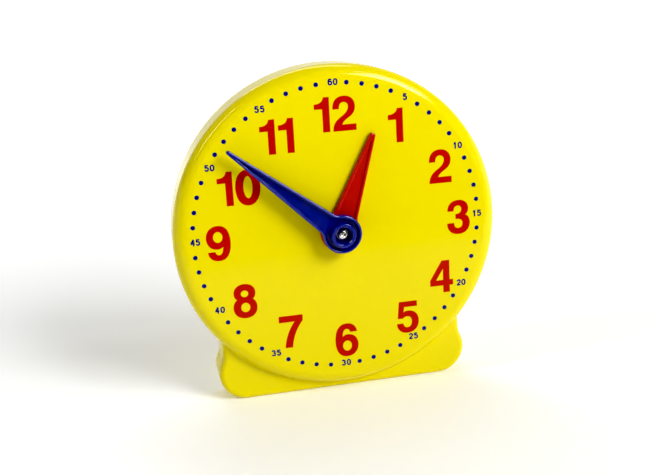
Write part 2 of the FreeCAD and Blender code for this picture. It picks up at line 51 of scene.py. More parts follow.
# ------------------------------------------------------------------ camera
cam_data = bpy.data.cameras.new("camera")
cam_data.sensor_width = 36.0
cam_data.lens = 62.63
cam_data.clip_start, cam_data.clip_end = 0.01, 20.0
cam = bpy.data.objects.new("camera", cam_data)
scene.collection.objects.link(cam)
ax = Vector((0.97609676, -0.20989411, -0.05638770))
ay = Vector((0.11003606, 0.25353031, 0.96104862))
az = Vector((-0.18742246, -0.94428113, 0.27056604))
rot = Matrix((ax, ay, az)).transposed().to_4x4()
cam.matrix_world = Matrix.Translation(Vector((-0.08483, -0.41371, 0.17956))) @ rot
scene.camera = cam


# ------------------------------------------------------------------ 2D helpers (millimetres)
def seg_dist(P, L):
    """Distance of each point in P to the closed polyline L."""
    A, B = L, np.roll(L, -1, 0)
    D = B - A
    dd = np.maximum((D * D).sum(1), 1e-18)
    out = np.empty(len(P))
    for i in range(0, len(P), 1500):
        Q = P[i:i + 1500, None, :] - A[None]
        t = np.clip((Q * D[None]).sum(2) / dd, 0, 1)
        R = Q - t[..., None] * D[None]
        out[i:i + 1500] = np.sqrt((R * R).sum(2)).min(1)
    return out


def inside(P, L):
    A, B = L, np.roll(L, -1, 0)
    c = np.zeros(len(P), bool)
    for (x0, y0), (x1, y1) in zip(A, B):
        if y0 == y1:
            continue
        k = (P[:, 1] > min(y0, y1)) & (P[:, 1] <= max(y0, y1))
        x = x0 + (P[:, 1] - y0) * (x1 - x0) / (y1 - y0)
        c ^= k & (P[:, 0] < x)
    return c


def signed(P, L):
    """Distance to the closed line L, positive inside it."""
    d = seg_dist(P, L)
    return np.where(inside(P, L), d, -d)


def area(L):
    x, y = L[:, 0], L[:, 1]
    return 0.5 * float((x * np.roll(y, -1) - np.roll(x, -1) * y).sum())


def ccw(L):
    L = np.asarray(L, float)
    keep = np.linalg.norm(L - np.roll(L, 1, 0), axis=1) > 1e-7
    L = L[keep]
    return L if area(L) > 0 else L[::-1].copy()


def circle(r, n=96, cx=0.0, cy=0.0, a0=0.0):
    a = a0 + np.arange(n) * 2 * pi / n
    return np.stack([cx + r * np.cos(a), cy + r * np.sin(a)], 1)


def cdt(loops, domain, holes=(), points=()):
    """Triangles inside the domain loops and outside the holes, following every loop."""
    verts, edges, faces = [], [], []

    def add(L, face):
        s = len(verts)
        verts.extend(Vector((float(a), float(b))) for a, b in L)
        n = len(L)
        if face:
            faces.append([s + i for i in range(n)])
        else:
            edges.extend((s + i, s + (i + 1) % n) for i in range(n))
    for L in domain:
        add(ccw(L), True)
    nd = len(domain)
    for L in holes:
        add(ccw(L), True)
    for L in loops:
        add(ccw(L), False)
    verts.extend(Vector((float(a), float(b))) for a, b in points)
    vo, _, fo, _, _, of = delaunay_2d_cdt(verts, edges, faces, 1, 1e-6, True)
    tri = [f for f, o in zip(fo, of) if any(i < nd for i in o) and not any(i >= nd for i in o)]
    return np.array([(v.x, v.y) for v in vo]), tri


def boundary(tris):
    """Directed boundary edges of a set of triangles."""
    seen = set()
    for f in tris:
        n = len(f)
        for i in range(n):
            seen.add((f[i], f[(i + 1) % n]))
    return [(a, b) for a, b in seen if (b, a) not in seen]


# ------------------------------------------------------------------ mesh helpers
def to_row(P, h, angle=0.0):
    """Points (u right, v along the hand) at height h in front of the dial, in metres in the row frame."""
    a = radians(angle)
    x = P[:, 0] * cos(a) + P[:, 1] * sin(a)
    z = -P[:, 0] * sin(a) + P[:, 1] * cos(a)
    return np.stack([x, DIAL_Y - np.asarray(h, float) * np.ones(len(P)), HUB_Z + z], 1) * MM


def turn_row(N, angle):
    """Directions (u, v, h) turned into the row frame."""
    a = radians(angle)
    return np.stack([N[..., 0] * cos(a) + N[..., 1] * sin(a), -N[..., 2], -N[..., 0] * sin(a) + N[..., 1] * cos(a)], -1)


def surface_normals(H, P, T, up):
    """Normals at the corners of triangles T on the height map H, taken just inside each triangle so that real edges stay crisp."""
    C = P[T]
    Q = (C + 0.1 * (C.mean(1, keepdims=True) - C)).reshape(-1, 2)
    e = 2e-4
    du = (H(Q + [e, 0]) - H(Q - [e, 0])) / (2 * e)
    dv = (H(Q + [0, e]) - H(Q - [0, e])) / (2 * e)
    N = np.stack([-du, -dv, np.ones(len(Q))], 1)
    N /= np.linalg.norm(N, axis=1)[:, None]
    return (N if up else -N).reshape(len(T), 3, 3)


def moulding(name, angle, outline, holes, top, bottom):
    """Closed solid between two height maps over one outline, with exact shading normals.
    top and bottom are (closed lines, loose points, height function)."""
    V, F, N, rims, flat = [], [], [], [], []
    for k, (lines, pts, H) in enumerate((top, bottom)):
        P, T = cdt(lines, [outline], holes, pts)
        T = np.array([f for f in T if len(f) == 3])
        ar = np.cross(P[T[:, 1]] - P[T[:, 0]], P[T[:, 2]] - P[T[:, 0]])
        T = np.where(ar[:, None] < 0, T[:, ::-1], T)
        used = np.unique(T)
        new = -np.ones(len(P), int)
        new[used] = np.arange(len(used))
        P, T = P[used], new[T]
        NN = turn_row(surface_normals(H, P, T, k == 0), angle)
        s = len(V)
        V.extend(to_row(P, H(P), angle))
        edge = boundary([tuple(f) for f in T])
        if k:
            T, NN = T[:, ::-1], NN[:, ::-1]
        F.extend(tuple(s + i for i in f) for f in T)
        N.extend(n for tri in NN for n in tri)
        rims.append({tuple(np.round(np.concatenate([P[a], P[b]]), 4)): (s + a, s + b, P[a], P[b]) for a, b in edge})
    miss = [k for k in rims[0] if k not in rims[1]]
    if miss or len(rims[0]) != len(rims[1]):
        raise RuntimeError("%s: %d of %d/%d rim edges don't match, such as %s" % (name, len(miss), len(rims[0]), len(rims[1]), miss[:1]))
    out_of, into = {}, {}
    for k, (a, b, pa, pb) in rims[0].items():
        d = pb - pa
        n = np.array([d[1], -d[0]]) / np.linalg.norm(d)
        out_of[a] = n
        into[b] = n

    def wall_normal(v, own):
        m = out_of[v] + into[v]
        m /= np.linalg.norm(m)
        return m if m @ own > cos(radians(24)) else own
    for k, (a, b, pa, pb) in rims[0].items():
        c, d = rims[1][k][:2]
        F.append((b, a, c, d))
        own = out_of[a]
        na, nb = wall_normal(a, own), wall_normal(b, own)
        W = turn_row(np.array([[*nb, 0.0], [*na, 0.0], [*na, 0.0], [*nb, 0.0]]), angle)
        N.extend(W)
    me = bpy.data.meshes.new(name)
    me.from_pydata([tuple(v) for v in V], [], F)
    me.shade_smooth()
    me.normals_split_custom_set([tuple(n) for n in N])
    me.update()
    o = bpy.data.objects.new(name, me)
    scene.collection.objects.link(o)
    return o


def new_object(name, verts, faces):
    me = bpy.data.meshes.new(name)
    me.from_pydata([tuple(v) for v in verts], [], [tuple(f) for f in faces])
    me.update()
    o = bpy.data.objects.new(name, me)
    scene.collection.objects.link(o)
    return o


def quarter_steps(r, n=4):
    """(distance in from the edge, drop) of a quarter-round edge of radius r."""
    return [(r * (1 - cos(t)), r * (1 - sin(t))) for t in [pi / 2 * i / n for i in range(n + 1)]]


def fall(d, r):
    """How far a quarter-round edge of radius r has dropped at distance d in from the edge."""
    d = np.clip(d, 0, r)
    return r - np.sqrt(np.maximum(r * r - (r - d) ** 2, 0))


def offset(L, d):
    """The closed line L moved outwards by d, or inwards where d is negative."""
    L = ccw(L)
    e = np.roll(L, -1, 0) - L
    e /= np.linalg.norm(e, axis=1)[:, None]
    n1 = np.stack([e[:, 1], -e[:, 0]], 1)
    n0 = np.roll(n1, 1, 0)
    m = n0 + n1
    m /= np.maximum(np.linalg.norm(m, axis=1), 1e-9)[:, None]
    return L + m * (d / np.maximum((m * n1).sum(1), 0.6))[:, None]


def rounded_profile(points, radii, n=4):
    """A polyline (r, h) with its corners rounded; used for turned surfaces."""
    P = [np.array(p, float) for p in points]
    out = [tuple(P[0])]
    for i in range(1, len(P) - 1):
        a, b, c = P[i - 1], P[i], P[i + 1]
        r = radii[i]
        u, v = (a - b) / np.linalg.norm(a - b), (c - b) / np.linalg.norm(c - b)
        if r <= 0:
            out.append(tuple(b))
            continue
        ang = np.arccos(np.clip(u @ v, -1, 1))
        t = min(r / np.tan(ang / 2), 0.49 * np.linalg.norm(a - b), 0.49 * np.linalg.norm(c - b))
        rr = t * np.tan(ang / 2)
        m = (u + v) / np.linalg.norm(u + v)
        ctr = b + m * rr / np.sin(ang / 2)
        p0, p1 = b + u * t, b + v * t
        a0, a1 = atan2(*(p0 - ctr)[::-1]), atan2(*(p1 - ctr)[::-1])
        d = (a1 - a0 + pi) % (2 * pi) - pi
        for j in range(n + 1):
            q = a0 + d * j / n
            out.append((ctr[0] + rr * cos(q), ctr[1] + rr * sin(q)))
    out.append(tuple(P[-1]))
    keep = [out[0]]
    for p in out[1:]:
        if p[0] - keep[-1][0] > 5e-4:
            keep.append(p)
    return keep


# ------------------------------------------------------------------ hands
def hand_outline(R, hw0, slope, off, rho, tip, tip_r, step=1.2):
    """Hub circle of radius R and a tapering blade along +v, joined by hollow fillets of radius rho.
    Half width of the blade: hw0 + slope * v - off * k."""
    k = sqrt(1 + slope * slope)

    def hw(v):
        return hw0 + slope * v - off * k
    n = np.array([1 / k, -slope / k])          # outward normal of the right side
    # centre of the fillet between hub and right side
    lo, hi = 0.0, R + rho
    for _ in range(60):
        v = (lo + hi) / 2
        u = hw(v) + rho * k
        if u * u + v * v > (R + rho) ** 2:
            hi = v
        else:
            lo = v
    c = np.array([hw(v) + rho * k, v])
    a0 = atan2(-c[1], -c[0])                    # towards the hub
    a1 = atan2(-n[1], -n[0])                    # towards the blade
    pts = []
    ah = atan2(c[1], c[0])                      # where the hub's arc ends
    m = 72
    start, end = -pi / 2, ah
    for i in range(m + 1):
        a = start + (end - start) * i / m
        pts.append((R * cos(a), R * sin(a)))
    if a0 < 0:
        a0 += 2 * pi
    if a1 < 0:
        a1 += 2 * pi
    for i in range(1, 11):
        a = a0 + (a1 - a0) * i / 10
        pts.append((c[0] + rho * cos(a), c[1] + rho * sin(a)))
    # blade side up to the tip's corner
    cr = max(tip_r, 0.02)
    ct = tip - cr
    if hw(ct) / k <= cr:                        # full round
        for _ in range(60):
            ct = tip - cr
            cr = hw(ct) / k
        ct = tip - cr
        cx = 0.0
    else:
        cx = hw(ct) - cr * k
    end_pt = np.array([cx + n[0] * cr, ct + n[1] * cr])
    s = np.array(pts[-1])
    m = max(2, int(np.linalg.norm(end_pt - s) / step))
    for i in range(1, m + 1):
        p = s + (end_pt - s) * i / m
        pts.append(tuple(p))
    aa = atan2(n[1], n[0])
    for i in range(1, 9):
        a = aa + (pi / 2 - aa) * i / 8
        pts.append((cx + cr * cos(a), ct + cr * sin(a)))
    right = np.array(pts)
    left = right[::-1] * np.array([-1, 1])
    both = np.concatenate([right, left])
    keep = [0]
    for i in range(1, len(both)):
        if np.linalg.norm(both[i] - both[keep[-1]]) > 1e-4:
            keep.append(i)
    L = both[keep]
    if np.linalg.norm(L[0] - L[-1]) < 1e-4:
        L = L[:-1]
    return ccw(L)


def make_hand(name, angle, R, hw0, slope, rho, tip, tip_r, rim, pocket_tip, pocket_r, hub_in, top_h, tip_top, bot_h, bot_blade,
              web, groove, groove_r, boss, re, ri, rf, rb, draft=0.05, hole=None):
    """A moulded hand: flat-bottomed, with a rounded rim round a sunk web, and a boss on its hub."""
    def outer(d):
        return hand_outline(R - d, hw0, slope, d, rho + d, tip - d, tip_r - d)

    def pocket(d):
        return hand_outline(hub_in - d, hw0, slope, rim + d, rho + rim + d, pocket_tip - d, pocket_r - d)
    base, pbase = outer(0), pocket(0)

    def T(P):
        v = np.hypot(P[:, 0], P[:, 1])
        return np.interp(v, [R, tip], [top_h, tip_top])

    br, bh = zip(*rounded_profile(*boss, n=16))
    coarse = [p[0] for p in rounded_profile(*boss, n=4)]

    def Htop(P):
        r = np.hypot(P[:, 0], P[:, 1])
        do = np.maximum(signed(P, base), 0)
        dp = signed(P, pbase)
        t = T(P)
        floor = np.interp(r, [groove_r - 0.25, groove_r - 0.15, groove_r + 0.05, groove_r + 0.15],
                          [groove, groove + 0.12 * (web - groove), web - 0.12 * (web - groove), web])
        rim_h = t - fall(do, re) - fall(-dp, ri)
        top_wall = t - ri
        q = rf * (1 - 0.7071)
        x0, x1, x2, x3 = 0.0, draft, draft + q, draft + rf
        w = np.where(dp < x1, top_wall + (floor + rf - top_wall) * (dp - x0) / (x1 - x0),
                     np.where(dp < x3, floor + fall(np.clip(dp - x1, 0, rf), rf), floor))
        h = np.where(dp > 1e-6, w, rim_h)
        return np.where(r < br[-1] - 1e-6, np.interp(r, br, bh), h)

    def bot_level(r):
        return np.interp(r, [R + 0.05, R + 0.35], [bot_h, bot_blade])

    def Hbot(P):
        r = np.hypot(P[:, 0], P[:, 1])
        do = np.maximum(signed(P, base), 0)
        return bot_level(r) + fall(do, rb)

    lines = [outer(d) for d, _ in quarter_steps(re)[1:]]
    lines += [pocket(-d) for d, _ in quarter_steps(ri)[1:]]
    lines += [pocket(0), pocket(draft), pocket(draft + rf * 0.2929), pocket(draft + rf)]
    lines += [circle(r, 120) for r in coarse if r > 0]

    def across(radii, area_line, n=144):
        """Points of arcs at the given radii that fall well inside a closed line."""
        c = np.concatenate([circle(g, n) for g in radii])
        return c[signed(c, area_line) > 0.03]
    step = across([groove_r - 0.25, groove_r - 0.15, groove_r + 0.05, groove_r + 0.15], pocket(draft + rf)) if web != groove else np.zeros((0, 2))
    under = across([R + 0.05, R + 0.35], outer(rb)) if bot_h != bot_blade else np.zeros((0, 2))
    return moulding(name, angle, base, [circle(hole, 120)] if hole else [], (lines, step, Htop),
                    ([outer(d) for d, _ in quarter_steps(rb, 3)[1:]], under, Hbot))


minute_boss = ([(0, 5.6), (1.95, 5.6), (2.05, 4.2), (3.05, 4.2), (3.3, 8.0), (3.64, 8.4), (4.62, 8.4), (4.74, 4.4), (5.2, 4.4)],
               [0, 0.05, 0.05, 0.15, 0.12, 0.22, 0.34, 0.22, 0])
minute_hand = make_hand(
    "minute_hand_moulding", MIN_ANGLE, R=7.3, hw0=3.93 + 11 * (3.93 - 0.97) / 39, slope=-(3.93 - 0.97) / 39, rho=4.0,
    tip=53.8, tip_r=2.0, rim=1.0, pocket_tip=48.9, pocket_r=0.5, hub_in=6.28, top_h=6.6, tip_top=5.9, bot_h=3.6, bot_blade=4.1,
    web=4.62, groove=4.4, groove_r=6.1, boss=minute_boss, re=0.5, ri=0.42, rf=0.16, rb=0.15)
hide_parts("minute_hand")
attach(minute_hand, "minute_drive")

hour_boss = ([(3.9, 3.2), (5.34, 3.2), (5.42, 1.7), (5.9, 1.7)], [0, 0.25, 0.15, 0])
hour_hand = make_hand(
    "hour_hand_moulding", HOUR_ANGLE, R=7.6, hw0=4.4 + 9 * 3.2 / 28, slope=-3.2 / 28, rho=3.0,
    tip=38.9, tip_r=0.6, rim=1.15, pocket_tip=35.9, pocket_r=0.25, hub_in=6.4, top_h=2.25, tip_top=2.25, bot_h=0.5, bot_blade=0.5,
    web=1.7, groove=1.7, groove_r=6.2, boss=hour_boss, re=0.38, ri=0.3, rf=0.1, rb=0.15, hole=3.9)
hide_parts("hour_hand")
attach(hour_hand, "hour_drive")


# ------------------------------------------------------------------ screw in the hand boss
def plus_outline(a, w, d=0.0):
    """Plain cross, moved inwards by d."""
    a, w = a - d, w - d
    return np.array([(a, -w), (a, w), (w, w), (w, a), (-w, a), (-w, w), (-a, w), (-a, -w), (-w, -w), (-w, -a), (w, -a), (w, -w)], float)


def make_screw():
    R, top = 1.93, 6.9
    dome = [(0.0, 0.0), (0.5, 0.015), (0.9, 0.05), (1.25, 0.12), (1.5, 0.21), (1.7, 0.34), (1.83, 0.50), (1.90, 0.68), (1.93, 0.9)]
    A, W = 1.12, 0.27
    base = plus_outline(A, W)

    def H(P):
        r = np.hypot(P[:, 0], P[:, 1])
        h = top - np.interp(r, [d[0] for d in dome], [d[1] for d in dome])
        d = signed(P, base)
        # walls lean inwards towards a point under the middle
        depth = np.interp(d, [-0.05, 0, 0.03, 0.11, 0.2], [0, 0.03, 0.12, 0.62, 0.74])
        cone = np.interp(r, [0, 0.35, A], [0.28, 0.1, -0.32])
        return h - np.where(d > 0.05, np.maximum(depth + cone * np.clip((d - 0.05) / 0.1, 0, 1), 0.05), depth)
    lines = [circle(d[0], 96) for d in dome[1:-1]]
    lines += [plus_outline(A, W, d) for d in (-0.05, 0.0, 0.03, 0.11, 0.2)]
    none = np.zeros((0, 2))
    return moulding("hand_screw_head", 28.0, circle(R, 96), [], (lines, none, H), ([], none, lambda P: np.full(len(P), 5.6)))


screw = make_screw()
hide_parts("hand_screw")
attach(screw, "minute_drive")


# ------------------------------------------------------------------ printed dial
def path(cmds, n=10):
    """Closed outline from move, line and cubic steps."""
    pts, cur = [], None
    for c in cmds:
        if c[0] in "ML":
            cur = np.array(c[1:3], float)
            pts.append(cur)
        else:
            h1, h2, e = (np.array(c[i:i + 2], float) for i in (1, 3, 5))
            for i in range(1, n + 1):
                t = i / n
                pts.append((1 - t) ** 3 * cur + 3 * (1 - t) ** 2 * t * h1 + 3 * (1 - t) * t * t * h2 + t ** 3 * e)
            cur = e
    return np.array(pts)


def ellipse(cx, cy, rx, ry, n=40):
    a = np.arange(n) * 2 * pi / n
    return np.stack([cx + rx * np.cos(a), cy + ry * np.sin(a)], 1)


def oval(cx, cy, rx, ry, k=0.60, n=12):
    """Upright oval from four cubics whose handles are k of the half sizes."""
    q = [((rx, 0), (rx, ry * k), (rx * k, ry), (0, ry)), ((0, ry), (-rx * k, ry), (-rx, ry * k), (-rx, 0)),
         ((-rx, 0), (-rx, -ry * k), (-rx * k, -ry), (0, -ry)), ((0, -ry), (rx * k, -ry), (rx, -ry * k), (rx, 0))]
    pts = []
    for a, b, c, d in q:
        a, b, c, d = (np.array(p, float) for p in (a, b, c, d))
        for i in range(n):
            t = i / n
            pts.append((1 - t) ** 3 * a + 3 * (1 - t) ** 2 * t * b + 3 * (1 - t) * t * t * c + t ** 3 * d)
    return np.array(pts) + np.array([cx, cy])


M, Ln, C = "M", "L", "C"
SIX = path([(M, 8.41, 9.87), (C, 8.2, 12.0, 6.7, 13.24, 4.5, 13.24), (C, 1.6, 13.24, 0, 10.9, 0, 6.5), (C, 0, 2.2, 1.5, 0, 4.4, 0),
            (C, 7.0, 0, 8.8, 1.85, 8.8, 4.5), (C, 8.8, 7.0, 7.2, 8.75, 4.95, 8.75), (C, 3.9, 8.75, 3.2, 8.4, 2.62, 7.75),
            (C, 2.75, 10.1, 3.3, 11.2, 4.45, 11.2), (C, 5.2, 11.2, 5.75, 10.7, 5.87, 9.87)])
SIX_HOLE = ellipse(4.52, 4.25, 1.86, 2.2)
TURN = np.array([8.8, 13.24])
GLYPH = {
    "1": ([path([(M, 3.04, 0), (Ln, 5.48, 0), (Ln, 5.48, 12.72), (Ln, 3.5, 12.72), (C, 3.3, 11.2, 2.1, 10.3, 0, 10.3), (Ln, 0, 8.62),
                 (Ln, 3.04, 8.62)])], []),
    "2": ([path([(M, 0, 0), (Ln, 8.52, 0), (Ln, 8.52, 2.16), (Ln, 3.2, 2.16), (C, 3.45, 3.2, 4.4, 3.95, 5.6, 4.75),
                 (C, 7.1, 5.7, 8.25, 6.6, 8.25, 8.86), (C, 8.25, 11.3, 6.6, 12.77, 4.2, 12.77), (C, 1.55, 12.77, 0, 11.2, 0, 8.2),
                 (Ln, 2.2, 8.2), (C, 2.2, 9.8, 2.9, 10.68, 4.05, 10.68), (C, 5.2, 10.68, 5.85, 9.95, 5.85, 8.9),
                 (C, 5.85, 7.5, 4.9, 6.4, 3.6, 5.47), (C, 2.0, 4.35, 0, 3.3, 0, 0)])], []),
    "3": ([path([(M, 0, 4.32), (C, 0, 1.6, 1.75, 0, 4.47, 0), (C, 7.15, 0, 8.86, 1.75, 8.86, 4.3), (C, 8.86, 5.95, 8.1, 6.95, 7.0, 7.4),
                 (C, 7.85, 7.9, 8.29, 8.75, 8.29, 9.9), (C, 8.29, 11.95, 6.75, 13.3, 4.5, 13.3), (C, 1.85, 13.3, 0.25, 11.8, 0.22, 9.22),
                 (Ln, 2.42, 9.22), (C, 2.45, 10.55, 3.15, 11.32, 4.25, 11.32), (C, 5.2, 11.32, 5.75, 10.65, 5.75, 9.75),
                 (C, 5.75, 8.45, 4.9, 7.8, 3.38, 7.8), (Ln, 3.38, 6.08), (C, 5.2, 6.08, 6.15, 5.5, 6.15, 4.2),
                 (C, 6.15, 2.95, 5.4, 2.2, 4.3, 2.2), (C, 3.2, 2.2, 2.6, 3.0, 2.6, 4.32)])], []),
    "4": ([path([(M, 5.23, 0), (Ln, 7.66, 0), (Ln, 7.66, 2.84), (Ln, 9.05, 2.84), (Ln, 9.05, 4.84), (Ln, 7.66, 4.84), (Ln, 7.66, 12.73),
                 (Ln, 4.75, 12.73), (Ln, 0, 5.05), (Ln, 0, 2.84), (Ln, 5.23, 2.84)])], [np.array([(5.23, 4.84), (5.23, 9.75), (2.12, 4.84)])]),
    "5": ([path([(M, 1.04, 12.69), (Ln, 8.04, 12.69), (Ln, 8.04, 10.69), (Ln, 2.9, 10.69), (Ln, 2.52, 8.2), (C, 3.1, 8.7, 3.8, 8.87, 4.6, 8.87),
                 (C, 7.0, 8.87, 8.6, 7.2, 8.6, 4.65), (C, 8.6, 1.85, 6.8, 0, 4.1, 0), (C, 1.7, 0, 0.1, 1.45, 0, 3.78), (Ln, 2.35, 3.78),
                 (C, 2.55, 2.65, 3.2, 2.05, 4.1, 2.05), (C, 5.3, 2.05, 6.05, 3.05, 6.05, 4.6), (C, 6.05, 6.0, 5.3, 6.8, 4.1, 6.8),
                 (C, 3.3, 6.8, 2.8, 6.55, 2.4, 6.05), (Ln, 0.38, 6.05)])], []),
    "6": ([SIX], [SIX_HOLE]),
    "7": ([path([(M, 0, 12.66), (Ln, 9.02, 12.66), (Ln, 9.02, 10.5), (C, 6.5, 7.5, 5.0, 3.9, 4.64, 0), (Ln, 1.98, 0),
                 (C, 2.3, 3.5, 3.7, 7.3, 6.1, 10.34), (Ln, 0, 10.34)])], []),
    "8": ([path([(M, 4.41, 0), (C, 7.1, 0, 8.82, 1.7, 8.82, 4.1), (C, 8.82, 5.7, 8.2, 6.7, 7.2, 7.3), (C, 8.0, 7.9, 8.41, 8.75, 8.41, 9.8),
                 (C, 8.41, 11.9, 6.8, 13.28, 4.4, 13.28), (C, 2.0, 13.28, 0.38, 11.9, 0.38, 9.8), (C, 0.38, 8.75, 0.8, 7.9, 1.6, 7.3),
                 (C, 0.6, 6.7, 0, 5.7, 0, 4.1), (C, 0, 1.7, 1.7, 0, 4.41, 0)])], [ellipse(4.38, 9.55, 1.53, 1.4), ellipse(4.5, 4.15, 1.85, 1.95)]),
    "9": ([TURN - SIX], [TURN - SIX_HOLE]),
    "0": ([oval(4.53, 6.65, 4.53, 6.65)], [oval(4.58, 6.8, 1.77, 4.28, 0.56)]),
}
NUMERALS = [("1", -7.08, 37.94), ("2", -0.2, 37.9), ("1", 20.6, 31.75), ("2", 35.93, 14.57), ("3", 42.48, -6.27), ("4", 35.02, -29.2),
            ("5", 21.1, -44.05), ("6", -3.64, -50.6), ("7", -25.2, -44.14), ("8", -41.98, -30.14), ("9", -50.2, -6.66),
            ("1", -44.58, 13.83), ("0", -37.98, 13.37), ("1", -27.7, 31.5), ("1", -20.75, 31.5)]

INK = 0.03       # ink thickness
BOLD = 0.11      # spread of the ink round each outline


def ink(name, solid, cut):
    """Thin printed ink on the dial: closed slabs over the given outlines."""
    P, T = cdt([], solid, cut)
    front = to_row(P, INK, PRINT_ANGLE)
    back = to_row(P, -0.01, PRINT_ANGLE)
    n = len(P)
    V = list(front) + list(back)
    F = [tuple(f) for f in T] + [tuple(n + i for i in reversed(f)) for f in T]
    F += [(a, n + a, n + b, b) for a, b in boundary(T)]
    o = new_object(name, V, F)
    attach(o, "case")
    return o


solid, cut = [], []
for ch, u, v in NUMERALS:
    s, h = GLYPH[ch]
    solid += [offset(L + np.array([u, v]), BOLD) for L in s]
    cut += [offset(L + np.array([u, v]), -BOLD) for L in h]
numerals = ink("hour_numerals", solid, cut)

dots = [circle(0.86, 28, -0.30 + 54.76 * sin(2 * pi * m / 60), 1.13 + 54.76 * cos(2 * pi * m / 60)) for m in range(60) if m % 5]
minute_dots = ink("minute_dots", dots, [])


def stroke(pts, w):
    """Closed band of width w along a line of points."""
    P = np.array(pts, float)
    d = np.gradient(P, axis=0)
    d /= np.linalg.norm(d, axis=1)[:, None]
    n = np.stack([-d[:, 1], d[:, 0]], 1) * w / 2
    # mitre at corners
    seg = P[1:] - P[:-1]
    seg /= np.linalg.norm(seg, axis=1)[:, None]
    for i in range(1, len(P) - 1):
        a, b = seg[i - 1], seg[i]
        na, nb = np.array([-a[1], a[0]]), np.array([-b[1], b[0]])
        m = na + nb
        m /= np.linalg.norm(m)
        n[i] = m * (w / 2) / max(m @ na, 0.35)
    n[0] = np.array([-seg[0][1], seg[0][0]]) * w / 2
    n[-1] = np.array([-seg[-1][1], seg[-1][0]]) * w / 2
    return np.concatenate([P + n, (P - n)[::-1]])


def arc_pts(cx, cy, rx, ry, a0, a1, n=16):
    return [(cx + rx * cos(radians(a0 + (a1 - a0) * i / n)), cy + ry * sin(radians(a0 + (a1 - a0) * i / n))) for i in range(n + 1)]


SH, SW = 2.54, 0.56          # small digits: height and stroke
hs = SH - SW                 # height of the stroke's middle line


def small(ch):
    """A small digit, centred on (0, 0), as middle lines of its strokes and rings (x, y, rx, ry)."""
    b, t, e = -hs / 2, hs / 2, SW / 2
    if ch == "0":
        return [], [(0, 0, 0.60, hs / 2)]
    if ch == "1":
        return [[(0.14, b - e), (0.14, t + e)], [(-0.45, t - 0.36), (-0.2, t - 0.36), (0.0, t - 0.22), (0.08, t + 0.1)]], []
    if ch == "2":
        return [arc_pts(0, t - 0.56, 0.55, 0.56, 178, -32, 16) + [(0.22, -0.2), (-0.32, b + 0.42), (-0.52, b + 0.02)], [(-0.72, b), (0.66, b)]], []
    if ch == "3":
        return [arc_pts(-0.02, t - 0.5, 0.5, 0.5, 168, -92, 18), arc_pts(0, b + 0.52, 0.58, 0.52, 92, -168, 18)], []
    if ch == "4":
        return [[(0.28, b - e), (0.28, t + e)], [(0.2, t + 0.02), (-0.6, b + 0.62)], [(-0.78, b + 0.56), (0.74, b + 0.56)]], []
    if ch == "5":
        return [[(0.60, t), (-0.38, t), (-0.5, 0.06)], [(-0.46, 0.1)] + arc_pts(0.0, b + 0.63, 0.60, 0.63, 128, -162, 20)], []
    return [arc_pts(0.06, 0.0, 0.66, hs / 2, 48, 190, 18)], [(0.02, b + 0.62, 0.58, 0.62)]


def small_loops(ch, cx, cy):
    off = np.array([cx, cy])
    strokes, rings = small(ch)
    e = SW / 2
    return ([stroke(l, SW) + off for l in strokes] + [oval(x, y, rx + e, ry + e, 0.58) + off for x, y, rx, ry in rings],
            [oval(x, y, rx - e, ry - e, 0.56) + off for x, y, rx, ry in rings])


LABELS = [("6", -0.75, 56.15), ("0", 1.25, 56.15), ("5", 27.25, 48.5), ("1", 46.15, 28.45), ("0", 48.1, 28.45), ("1", 53.3, 1.2), ("5", 55.25, 1.2),
          ("2", 46.45, -26.0), ("0", 48.38, -26.0), ("2", 26.45, -45.75), ("5", 28.42, -45.75), ("3", -0.95, -53.2), ("0", 1.08, -53.2),
          ("3", -28.1, -45.7), ("5", -26.1, -45.7), ("4", -48.28, -25.85), ("0", -46.25, -25.85), ("4", -55.25, 1.25), ("5", -53.35, 1.25),
          ("5", -47.95, 28.55), ("0", -45.95, 28.55), ("5", -28.25, 48.4), ("5", -26.2, 48.4)]
solid, cut = [], []
for ch, u, v in LABELS:
    s, h = small_loops(ch, u, v)
    solid += s
    cut += h
minute_labels = ink("minute_labels", solid, cut)


